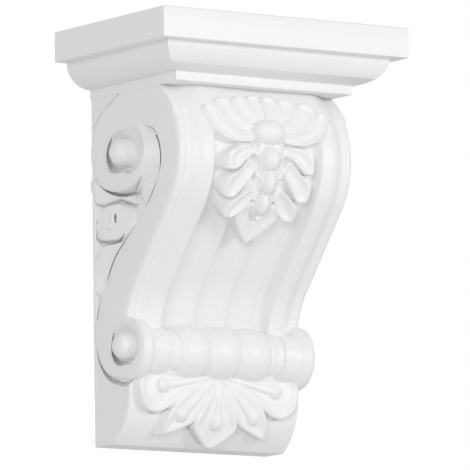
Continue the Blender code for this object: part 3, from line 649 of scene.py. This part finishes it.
# %% The foot block
BLOCK_FACE, BLOCK_TAPER = 43.5, 1.75
curve, _ = bezier(((BLOCK_FACE, 38), (BLOCK_FACE, 22), (35, 9), (22, 0)), 40)
block_line = np.concatenate([[[BLOCK_FACE, 60]], [[BLOCK_FACE, h] for h in np.arange(58, 38, -2.0)], curve])
block_path = path_object("block path", block_line)
block_length = line_length(block_line)


def prism(name, outline, low, high):
    """A side outline pushed from one x to another, in millimetres."""
    rings = np.stack([place(value, outline[:, 0], outline[:, 1]) for value in (low, high)])
    return closed_stack(name, rings)


outline = np.concatenate([[[-8, 62]], block_line[:1] + [[0, 2]], block_line[1:], [[-8, 0]]])
block = prism("foot block", outline, -HALF_WIDTH, HALF_WIDTH)
for vertex in block.data.vertices:
    drawn_in = BLOCK_TAPER * max(0.0, -vertex.co.y / (BLOCK_FACE * mm)) * mm
    vertex.co.x -= drawn_in if vertex.co.x > 0 else -drawn_in
bevel = outward(block).modifiers.new("soft edges", "BEVEL")
bevel.width = 1.5 * mm
bevel.segments = 3
bevel.limit_method = "ANGLE"
bevel.angle_limit = radians(40)
keep(plain_mesh(block))
print("down the face of the block:", round(block_length, 1), "mm")

# %% [markdown]
# A second palmette of five petals hangs over the block, each with a stamen that ends in a knob.
# A thin body cuts in under the petals' lower edges, so that they stand free of the block.

# %% The hanging palmette
x = np.arange(-72.0, 72.01, FINE)
s = np.arange(4.0, block_length - 4, FINE)
X, S = np.meshgrid(x, s)
hanging = Relief(X, S, np.full(X.shape, -3.0))
FALL = 8.0
OUTER = ((5, 3), (24, 1), (46, -3), (62, -2), (68.6, 6), (69, 15), (65, 24), (57, 28.6), (47, 27.5), (34, 20),
         (18, 10))
SECOND = ((4, 4), (20, 9), (33, 17.5), (42, 27), (45, 36), (44.5, 44.5), (44.5, 44.5), (35, 41), (26, 37.5),
          (19, 33), (10, 18))
MIDDLE = both_halves(((0, 3), (8, 14), (15, 26), (19, 36.5), (11.5, 45), (0, 54.5), (0, 54.5)))


def petal(marks, side):
    """The outline of a petal on one side, moved down to where the palmette hangs."""
    return closed_curve([(mx, my + FALL) for mx, my in mirrored(marks, side)])


for marks, root, rise, reach, rim, dull in ((OUTER, 5.2, 2.2, 69, 2.6, 1.5),
                                            (SECOND, 5.4, 2.6, 45, 2.4, 1.4)):
    for side in (-1, 1):
        hanging.shape(petal(marks, side), lambda x, y: root + rise * np.abs(x) / reach, hollow=2.2, bowl=5,
                      rim=rim, dull=dull, flank=(0.8 * side, 0))
hanging.shape(petal(MIDDLE, 1), lambda x, y: 5.6 + 0.05 * (y - FALL), hollow=2.2, bowl=5, rim=2.4, dull=1.4)
for knob in ((-49, 10), (-31, 28.5), (0, 33), (31, 28.5), (49, 10)):
    tip = (knob[0], FALL + knob[1])
    start = (knob[0] * 0.04, FALL + 2)
    middle = ((start[0] + tip[0]) / 2, (start[1] + tip[1]) / 2)
    hanging.leaf([start, middle, tip], ((0, 1.2), (1, 3.2)), ((0, 6.0), (1, 6.8)),
                 rim=1.4, hollow=0.0, slope=2.5)
    hanging.bead(tip, 5.3, 5.5, 4.4, 4.8)
block_sheet = keep(laid("hanging palmette", X, S, hanging.height, -8.0, block_path, 0.0))
print("palmette:", triangles(block_sheet.data), "triangles")


# %% The undercut of the petals
def boolean(thing, operation, other, spent=True):
    """Joins or cuts an object with another, which is removed when it is spent."""
    modifier = thing.modifiers.new(operation, "BOOLEAN")
    modifier.operation = operation
    modifier.solver = "MANIFOLD"
    modifier.object = other
    plain_mesh(thing)
    if spent:
        bpy.data.objects.remove(other)


# It starts below the roll, and only edges that face down or down and out are undercut
rows = s > 18
X, S = X[rows], S[rows]
petals = [inside_distance(X, S, petal(marks, side))
          for marks, side in ((OUTER, -1), (OUTER, 1), (SECOND, -1), (SECOND, 1), (MIDDLE, 1))]
facing = [np.clip(1.4 * out_y - 0.5, 0, 1) * np.clip(1 - 2.5 * np.clip(side * out_x, 0, 1), 0, 1)
          for side, (_, out_x, out_y) in zip((-1, 1, -1, 1), petals)]
facing.append(np.clip(1.2 * petals[4][2] - 0.7 * petals[4][1] - 0.25, 0, 1))
outside = -np.max([inner for inner, _, _ in petals], axis=0)
cut = np.minimum(np.max([inner + 1.9 * face for (inner, _, _), face in zip(petals, facing)], axis=0), outside)
undercut_tool = laid("petal undercut", X, S, 16.0, np.clip(1 - 12 * cut, -4.5, 14.0), block_path, 0.0)
boolean(block, "DIFFERENCE", undercut_tool, spent=False)
boolean(block_sheet, "DIFFERENCE", undercut_tool)
print("after the cut:", triangles(block.data), "and", triangles(block_sheet.data), "triangles")

# %% [markdown]
# The roll is turned, so it is a profile spun round its axis. Its three beads are one bead that
# geometry nodes repeat in a row, as wide as the flutes above them.

# %% The turned roll
def turned(name, profile):
    """A closed body of revolution about an axis along x, from marks (x, radius)."""
    angle = turn_of(96)
    return closed_stack(name, np.stack([place(px, *on_circle(LOWER_EYE, r, angle).T) for px, r in profile]))


def row_tree():
    """Geometry nodes that repeat a shape in a row along x, centred."""
    tree, given = start_tree("row of beads", (("Count", "Int"), ("Spacing", "Float")))
    half = math_node(tree, "MULTIPLY", math_node(tree, "SUBTRACT", given["Count"], 1.0), -0.5)
    start = math_node(tree, "MULTIPLY", half, given["Spacing"])
    first = add_node(tree, "ShaderNodeCombineXYZ", inputs={"X": start})
    step = add_node(tree, "ShaderNodeCombineXYZ", inputs={"X": given["Spacing"]})
    line = add_node(tree, "GeometryNodeMeshLine", {"mode": "OFFSET"},
                    {"Count": given["Count"], "Start Location": first, "Offset": step})
    copies = add_node(tree, "GeometryNodeInstanceOnPoints",
                      inputs={"Points": line, "Instance": given["Geometry"]})
    return end_tree(tree, copies, given["Finish"])


BEAD_RADIUS, VALLEY_RADIUS, BEAD_HALF, BEAD_SPACING = 20.0, 15.0, 13.9, 26.3
t = np.linspace(-1, 1, 21)
bead_profile = [(px, VALLEY_RADIUS + (BEAD_RADIUS - VALLEY_RADIUS) * swell)
                for px, swell in zip(t * BEAD_HALF, np.sqrt(np.clip(1 - t ** 2, 0, None)))]
bead = turned("bead", bead_profile)
keep(run_tree(bead, row_tree(), Count=3, Spacing=BEAD_SPACING * mm, Finish=primer))

# The rings, the neck and the flaring drum, drawn from the end inward and mirrored
marks = [(74.6, 0.5), (74.6, 18.0), (74.0, 20.2), (72.6, 21.8), (70.6, 22.5), (68.2, 22.3), (65.5, 20.9),
         (63.0, 18.4), (61.0, 15.6), (59.6, 13.6), (58.4, 12.7), (57.2, 12.7), (56.0, 13.1), (54.6, 13.5),
         (54.0, 13.9), (53.6, 14.6), (52.8, 15.6), (51.0, 16.5), (48.6, 16.9), (46.4, 16.5), (45.2, 15.7),
         (44.6, 14.9), (44.2, 14.6), (43.9, 14.9), (43.4, 15.9), (42.4, 16.4), (41.2, 16.3), (40.2, 15.7),
         (39.4, 15.1), (38.6, 15.0), (30.0, 14.0)]
keep(turned("roll end right", marks[::-1]))
keep(turned("roll end left", mirrored(marks, -1)))
print("roll: beads", round(2 * BEAD_RADIUS), "mm and ends", round(2 * max(r for _, r in marks)), "mm thick")

# %% [markdown]
# Each side shows the S as a flat band that curls into a big scroll at the top and a small one
# round the end of the roll. The scrolls are discs, given by marks round their eyes.

# %% Scroll helpers
def ring_values(values, angle):
    """Values read from a closed ring of marks, one every 30 degrees."""
    values = np.array(values, dtype=float)
    share = (angle / (2 * pi)) % 1.0 * len(values)
    i = share.astype(int)
    return soft_path(*(values[(i + k) % len(values)] for k in (-1, 0, 1, 2)), share - i)


def side_stack(side, centre, angle, rows, lean=0.0):
    """A body on a side of the corbel, from rows (radius, how far proud) round a centre. lean moves
    what lies below the side towards the wall."""
    rings = []
    for r, p in rows:
        d, h = on_circle(centre, r, angle).T
        rings.append(place(side * (HALF_WIDTH + p), np.maximum(d, -4) + lean * np.minimum(p, 0),
                           np.minimum(h, SOFFIT + 2.5)))
    return outward(closed_stack("side form", np.stack(rings)))


def scroll(side, centre, radius, crest, soften, flare, root):
    """A disc with a rounded crest. radius, crest, soften and flare are marks round the eye."""
    angle = turn_of(180)
    outer, top, soft, wider = (ring_values(marks, angle) for marks in (radius, crest, soften, flare))
    rows = [(outer * 0 + 0.5, top.mean() + 0 * top), ((outer - soft) * 0.9, top + 0.1)]
    rows += [(outer - soft * (1 - np.sin(turn)), top - soft * (1 - np.cos(turn)))
             for turn in np.linspace(0, pi / 2, 7)]
    rows += [(outer + wider, np.full_like(outer, root)), (outer * 0 + 0.5, np.full_like(outer, root))]
    return side_stack(side, centre, angle, rows)


# %% [markdown]
# Behind the band the side is cut back in a cove that runs out to the wall. A leaf curls there
# between the two scrolls. It is a relief like the palmettes, but drawn on the side view.

# %% The two sides
eye_line = front_line(radians(3))
band_front = beside(eye_line, 4.0)
band_front = band_front[(band_front[:, 1] < SOFFIT) & (band_front[:, 1] > 78)]
BAND_BACK = ((18, 118), (28.5, 134), (47, 149), (70, 167), (81, 179), (88.8, 193), (90, 204), (87, 215),
             (79.5, 222.3), (65, 226.5))
fine_back = np.stack([smooth_line(np.linspace(0, 9, 60), list(enumerate(v)))
                      for v in np.array(BAND_BACK).T], axis=-1)
lower_arc = on_circle(LOWER_EYE, 19.0, np.radians(np.arange(50, -61, -10)))
lower_back = on_circle(LOWER_EYE, 21.0, np.radians(np.arange(-100, -161, -10)))
wall_side = np.array([(3.5, 70), (3.5, 84), (6.5, 97), (10, 107)])
band_outline = np.concatenate([[[-4, SOFFIT + 2], [band_front[0][0], SOFFIT + 2]], band_front, lower_arc,
                               lower_back, wall_side, fine_back, [UPPER_EYE, (-4, UPPER_EYE[1] + 17)]])
UPPER_RADIUS = (30.6, 28.0, 27.6, 40.0, 42.3, 42.0, 40.5, 36.5, 30.6, 28.0, 28.8, 30.2)
DISC_ANGLE = turn_of(120)
BUD = ((57, 179), (60, 184), (67, 186), (74, 182), (73, 175), (64.5, 166), (61, 171))
LOBE = ((-3, 188), (0.5, 183), (3.5, 177.5), (10, 174.6), (19, 175.6), (27, 177), (35, 174), (43, 172),
        (46, 176), (38, 181), (27, 183), (17, 187), (7, 193), (-3, 194))
CURL = ((8, 167), (5, 162.5), (6, 156), (5, 152), (9.5, 149), (20, 147.4), (31, 147.6), (39, 151), (43, 157),
        (42.5, 164), (37.5, 170), (28, 174.4), (18.5, 173.5), (12, 171))
TURN = ((10, 165.5), (9, 160), (14, 156.5), (21, 156.5), (25, 160.5), (24.5, 166.5), (19, 170), (13.5, 169.5))
LONG_LEAF = ((46, 152), (36, 148), (24, 146), (12, 143), (4, 137), (0, 128), (1, 117), (7, 107), (11, 112),
             (15, 121), (24, 133), (36, 143))
# How far out the panel reaches behind the band, as marks (height, depth)
PANEL_REACH = ((40, 30), (60, 34), (90, 26), (112, 30), (135, 42), (150, 62), (168, 84), (190, 96), (215, 96),
               (235, 80), (256, 70))
LOW_LEFT = (-0.75, -0.65)
# Outline, level and settings of each form of the leaf, from the ground up
LEAF_FORMS = (
    (BUD, -4.0, dict(trench=(-1, -0.2), cut=3)),
    (LONG_LEAF, lambda x, y: -8.5 + 0.5 * np.clip(0.68 * (y - 118) - 0.73 * (x - 18), 0, 19),
     dict(trench=LOW_LEFT, cut=4)),
    (CURL, lambda x, y: 1.0 - 0.3 * np.clip(x - 16, 0, None),
     dict(rim=2.4, dull=1.6, trench=LOW_LEFT, cut=5)),
    (LOBE, lambda x, y: 1.4 - 0.3 * np.clip(x - 6, 0, None),
     dict(rim=2.4, dull=1.4, trench=LOW_LEFT, cut=5)),
    (TURN, lambda x, y: 3.0 - 0.12 * x, dict(hollow=2.2, bowl=3, rim=1.4, trench=LOW_LEFT, cut=3)))


def cove(side):
    """The cut-back panel with its leaf. Its ground rises to the side again at the wall."""
    h = np.arange(40.0, SOFFIT + 3, FINE)
    share = np.linspace(0, 1, int(88 / FINE))
    limit = np.interp(h, *np.array(PANEL_REACH).T)
    D = -4 + share[None] * (limit[:, None] + 4)
    H = np.broadcast_to(h[:, None], D.shape)
    deep = -9.5 + 0.6 * ease((D - 60) / 30)
    leafwork = Relief(D, H, np.where(D < 2.0, 0.0, deep * ease((D - 1.5) / 15.0) ** 0.75))
    # The ground is cut in under the big scroll
    gap = inside_distance(D, H, on_circle(UPPER_EYE, ring_values(UPPER_RADIUS, DISC_ANGLE), DISC_ANGLE))[0]
    leafwork.height -= 3.5 * ease((gap + 3.4) / 1.6) * (H < UPPER_EYE[1])
    for outline, level, settings in LEAF_FORMS:
        leafwork.shape(closed_curve(outline), level, **{"flank": (1.0, 0.1), "hollow": 0.0, **settings})
    leafwork.bead((7.5, 159.3), 3.4, 3.4, -1.5, 3.4)
    leafwork.bead((12.0, 154.2), 4.4, 4.0, -2.0, 2.8)
    top = place(side * (HALF_WIDTH + leafwork.height), D, H)
    return closed_sheet("cove", top, place(side * (HALF_WIDTH - 30.0), D, H))


for side in (-1, 1):
    keep(prism("band", band_outline, side * (HALF_WIDTH - 25), side * HALF_WIDTH))
    keep(cove(side))
    keep(scroll(side, UPPER_EYE, UPPER_RADIUS,
                (2.6, 1.6, 0.3, 0.1, 0.6, 1.6, 2.5, 2.8, 3.0, 3.0, 3.0, 2.9),
                (1.0, 1.0, 0.9, 0.8, 0.8, 1.0, 1.2, 1.4, 1.4, 1.2, 1.0, 1.0),
                (9, 8, 3, 0, 0, 0, 0, 0, 0, 1, 4, 8), -14.0))
    keep(scroll(side, LOWER_EYE,
                (22.5, 22.5, 22.5, 24.0, 38.0, 45.5, 36.8, 29.6, 23.2, 22.5, 22.5, 22.5),
                (0.2, 0.0, -0.2, 0.0, 0.6, 1.2, 1.4, 1.5, 1.4, 1.2, 0.9, 0.5),
                (5.6, 4.6, 2.6, 1.4, 0.8, 1.0, 1.2, 1.4, 2.2, 3.6, 5.0, 5.8), np.zeros(12), -6.0))
print("forms kept so far:", len(forms))

# %% [markdown]
# Behind all this is the plain body. It fills the core up to the soffit and to the wall.

# %% The core
core_front = beside(eye_line, 16.0)
core_front = core_front[(core_front[:, 1] < SOFFIT) & (core_front[:, 1] > 60)]
core_outline = np.concatenate([[[-8, SOFFIT + 2], [core_front[0][0], SOFFIT + 2]], core_front,
                               [[40, 60], [40, 30], [-8, 30]]])
keep(prism("core", core_outline, -60, 60))
strip = np.array([(-8, SOFFIT + 2), (2.3, SOFFIT + 2), (2.3, 40), (-8, 40)])
keep(prism("wall strip", strip, -(HALF_WIDTH - 0.4), HALF_WIDTH - 0.4))

# %% [markdown]
# A mould gives one skin with soft inner corners. A voxel remesh does the same: it keeps only the
# outer surface of all the forms. Then it is smoothed a little and thinned out where it is flat.

# %% One casting
VOXEL = 0.55 * mm
MOST_TRIANGLES = 160000
bm = bmesh.new()
for form in forms:
    bm.from_mesh(form.data)
    bpy.data.objects.remove(form)
console = new_object("console", bpy.data.meshes.new("console"))
bm.to_mesh(console.data)
bm.free()
print("forms joined:", triangles(console.data), "triangles")
fuse = console.modifiers.new("fuse", "REMESH")
fuse.mode = "VOXEL"
fuse.voxel_size = VOXEL
relax = console.modifiers.new("relax", "SMOOTH")
relax.factor = 0.5
relax.iterations = 2
plain_mesh(console)
print("fused:", triangles(console.data), "triangles")
thin = console.modifiers.new("thin", "DECIMATE")
thin.ratio = min(1.0, MOST_TRIANGLES / triangles(console.data))
plain_mesh(console)
outward(console)
# Thinning may move the foot by a hair, so it is set back on its plane
for vertex in console.data.vertices:
    vertex.co.z = max(vertex.co.z, -HEIGHT / 2 * mm)
print("thinned:", triangles(console.data), "triangles")

# %% [markdown]
# What the voxels would blur is cut crisply now: the hollows of the scrolls, the crescents behind
# their knobs and the fine grooves. Most lean in towards the wall, so they stay dark from the front.

# %% Tools for the sides
UPPER_DISH = (28.6, 26.0, 21.5, 17.0, 18.5, 22.0, 24.0, 21.4, 16.6, 14.4, 19.0, 25.5)
LOWER_DISH = (16.5, 17.6, 19.6, 21.0, 21.6, 21.6, 20.6, 17.6, 13.4, 11.4, 13.0, 14.8)
DISH_FOOT = 8.4
TOOL_TOP = 6.0


def dish_tool(side, centre, edge, floor, crest=2.0):
    """The hollow of a scroll: undercut behind, gentle in front. edge gives marks round the eye."""
    angle = turn_of(120)
    edge = ring_values(edge, angle)
    steep = ring_values((1.3, 1.3, 1.3, 1.6, 3.0, 6.0, 8.0, 8.0, 8.0, 6.0, 3.0, 1.6), angle)
    rows = [(edge * 0 + 0.5, floor)]
    rows += [(DISH_FOOT + (edge - DISH_FOOT) * share, floor + (crest - floor) * share ** steep)
             for share in np.linspace(0, 1, 13)]
    rows += [(edge + 0.3, crest + TOOL_TOP), (edge * 0 + 0.5, crest + TOOL_TOP)]
    return side_stack(side, centre, angle, rows, lean=0.9)


def groove_tool(side, line, widths, depth, slant=0.0):
    """A groove beside a line, on its right-hand side. slant leans it in towards the wall."""
    outline = np.concatenate([line, beside(line, np.asarray(widths)[:, None])[::-1]])
    depth = np.broadcast_to(depth, len(line))
    floor = -np.concatenate([depth, depth[::-1]])
    rings = [place(side * (HALF_WIDTH + p), outline[:, 0] + slant * np.minimum(p, 0), outline[:, 1])
             for p in (floor, 0.0, TOOL_TOP)]
    return outward(closed_stack("groove tool", np.stack(rings)))


def slot_tool(side, centre, across, along, depth, slant):
    """A small slanting hole, the eye of the curled leaf."""
    angle = turn_of(32)
    rings = [place(side * (HALF_WIDTH + p), centre[0] + across * np.cos(angle) + slant * p,
                   centre[1] + along * np.sin(angle)) for p in (-depth, 0.0, TOOL_TOP)]
    return outward(closed_stack("slot tool", np.stack(rings)))


def crescent(side, centre, edge, width, depth):
    """An undercut behind and below a knob, along the edge of its dish."""
    turn = np.radians(np.linspace(300, 140, 50))
    marks = np.interp(np.degrees(turn), (140, 175, 215, 250, 275, 300), (0.1, 0.8, 1.0, 0.8, 0.6, 0.1))
    line = on_circle(centre, ring_values(edge, turn) - 0.4, turn)
    return groove_tool(side, line, width * marks, depth * marks ** 0.5, 1.4)


def eye(side, centre, radius, rise, foot):
    """The knob at a scroll's eye: an upright flank under a flattened dome."""
    angle = turn_of(64)
    dome = [(radius * cos(turn) ** 0.86, rise * sin(turn) ** 0.86) for turn in np.linspace(0, 0.49 * pi, 20)]
    return side_stack(side, centre, angle, [(radius, foot)] + dome)


# %% Lines of the grooves
# The line between the band and the panel widens to a crescent round the small scroll
degrees = np.linspace(172, 292, 40)
turn = np.radians(degrees)
reach = np.interp(degrees, (168, 183, 196, 219, 241, 292), (39.6, 36.0, 32.3, 27.4, 23.6, 22.9))
edge_line = np.concatenate([fine_back[:50][::-1], wall_side[1:][::-1], on_circle(LOWER_EYE, reach, turn)])
TURNS = (172, 195, 225, 270, 292)
edge_width = np.concatenate([np.full(53, 1.3), np.interp(degrees, TURNS, (1.4, 3.2, 4.0, 3.0, 0.5))])
edge_depth = np.concatenate([np.interp(edge_line[:50, 1], (112, 150), (4, 12)), (3.0, 2.3, 1.8),
                             np.interp(degrees, TURNS, (1.8, 4, 7, 7, 3))])
# The groove under the big scroll
disc_turn = np.radians(np.linspace(188, 318, 40))
disc_line = on_circle(UPPER_EYE, ring_values(UPPER_RADIUS, disc_turn), disc_turn)
disc_width = 2.6 * np.sin(np.linspace(0.15, pi - 0.15, 40)) ** 0.7
disc_depth = np.interp(disc_line[:, 0], (2, 30), (2, 13))
# The groove round the curl of the leaf, which runs out before the wall
curl_line = closed_curve(CURL)[3:44]
curl_width = 3.6 * np.sin(np.linspace(0.2, pi - 0.1, len(curl_line))) ** 0.8
curl_width = curl_width * np.interp(curl_line[:, 0], (5, 13), (0.2, 1.0))
curl_depth = np.interp(curl_line[:, 0], (4, 25), (2.5, 12))
CREASE = np.array([(36, 252), (30, 249.2), (24.3, 246), (15.5, 241.5), (9.9, 238), (4, 233), (0, 228.5),
                   (-2, 226)])

# %% Cutting the sides
for side in (-1, 1):
    for tool in (dish_tool(side, UPPER_EYE, UPPER_DISH, -5.0), dish_tool(side, LOWER_EYE, LOWER_DISH, -4.0),
                 crescent(side, UPPER_EYE, UPPER_DISH, 6.0, 7.5),
                 crescent(side, LOWER_EYE, LOWER_DISH, 4.6, 7.0),
                 groove_tool(side, edge_line, edge_width, edge_depth, 1.5),
                 groove_tool(side, disc_line, disc_width, disc_depth, 0.6),
                 groove_tool(side, curl_line, curl_width, curl_depth, 1.2),
                 slot_tool(side, (28.5, 163.4), 1.6, 3.6, 6.5, 0.9),
                 groove_tool(side, CREASE, np.full(len(CREASE), 0.9), 1.5)):
        boolean(console, "DIFFERENCE", tool)
    boolean(console, "UNION", eye(side, UPPER_EYE, 9.6, 11.2, -9.0))
    boolean(console, "UNION", eye(side, (43.0, 69.0), 9.7, 10.8, -8.0))
print("after the cuts:", triangles(console.data), "triangles")

# %% [markdown]
# The moulded top is straight run moulding, so it must stay crisp. It is a stack of rectangles
# from the top edge down, joined to the console by a Boolean, and the back is cut off flat.

# %% The moulded top
def moulding(reach):
    """Profile of the top from its upper edge down: slab, ovolo and fillet."""
    corner = np.linspace(pi / 2, 0, 5)
    top = [(reach - 1.0 + cos(a), 299.0 + sin(a)) for a in corner]
    foot = [(reach - 0.7 + 0.7 * cos(a), 278.5 - 0.7 * sin(a)) for a in corner[::-1]]
    ovolo = [(reach - 30 + 20 * cos(a), 277.8 - 18.3 * sin(a)) for a in np.linspace(0, pi / 2, 25)]
    fillet = [(reach - 30, 253.2), (reach - 30.2, 252.7), (reach - 30.7, 252.5)]
    return np.array(top + foot + ovolo + fillet)


def upright(name, levels):
    """A stack of rectangles, from rows (half-width, depth behind, depth in front, height)."""
    rings = [place(np.array([-half, half, half, -half]), np.array([low, low, high, high]), level)
             for half, low, high, level in levels]
    return outward(closed_stack(name, np.stack(rings)))


SLAB_DEPTH, SLAB_HALF_WIDTH = 142.0, 106.2
levels = [(half, -6.0, depth, level)
          for (depth, level), (half, _) in zip(moulding(SLAB_DEPTH), moulding(SLAB_HALF_WIDTH))]
boolean(console, "UNION", upright("moulded top", levels))
boolean(console, "DIFFERENCE", upright("wall", [(150, -60, 0.0, -50.0), (150, -60, 0.0, 350.0)]))
print("moulding:", len(levels), "levels from", levels[0][3], "down to", levels[-1][3], "mm")

# %% The finished mesh
casting = console
casting.name = "corbel_casting"
bm = bmesh.new()
bm.from_mesh(casting.data)
bmesh.ops.triangulate(bm, faces=[face for face in bm.faces if len(face.verts) > 4])
open_edges = sum(len(edge.link_faces) != 2 for edge in bm.edges)
bm.to_mesh(casting.data)
bm.free()
casting.data.shade_smooth()
casting.data.set_sharp_from_angle(angle=radians(48))
print("casting:", triangles(casting.data), "triangles,", open_edges, "open edges")
for helper in (front_path, block_path):
    bpy.data.objects.remove(helper)

# %% [markdown]
# The finish is water-based primer sprayed on foam: matt to satin, nearly pure white, with a fine
# orange-peel skin. The broad tone varies by a hair, as thin and thick coats do.

# %% White primer
primer.use_nodes = True
tree = primer.node_tree
shader = tree.nodes["Principled BSDF"]
shader.inputs["IOR"].default_value = 1.46
where = add_node(tree, "ShaderNodeTexCoord")
# Spray passes some 60 mm wide
passes = add_node(tree, "ShaderNodeTexNoise",
                  inputs={"Vector": where.outputs["Object"], "Scale": 16.0, "Detail": 3.0})
tone = add_node(tree, "ShaderNodeMix", {"data_type": "RGBA"}, {"Factor": passes.outputs["Fac"]})
tone.inputs[6].default_value = colour("#F1F1EF")
tone.inputs[7].default_value = colour("#F6F6F5")
tree.links.new(tone.outputs[2], shader.inputs["Base Color"])
# Satin, whose roughness varies with the passes
sheen = add_node(tree, "ShaderNodeMapRange",
                 inputs={"Value": passes.outputs["Fac"], "To Min": 0.34, "To Max": 0.42})
tree.links.new(sheen.outputs[0], shader.inputs["Roughness"])
# Orange peel about 1.2 mm across and a few hundredths of a millimetre high
peel = add_node(tree, "ShaderNodeTexNoise",
                inputs={"Vector": where.outputs["Object"], "Scale": 800.0, "Detail": 2.0})
bump = add_node(tree, "ShaderNodeBump",
                inputs={"Strength": 0.12, "Distance": 0.00006, "Height": peel.outputs["Fac"]})
tree.links.new(bump.outputs[0], shader.inputs["Normal"])
casting.data.materials.clear()
casting.data.materials.append(primer)
print("finish:", primer.name, "with", len(tree.nodes), "nodes")

# %% Hand the casting to the frame
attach(casting, "root")
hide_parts("corbel")
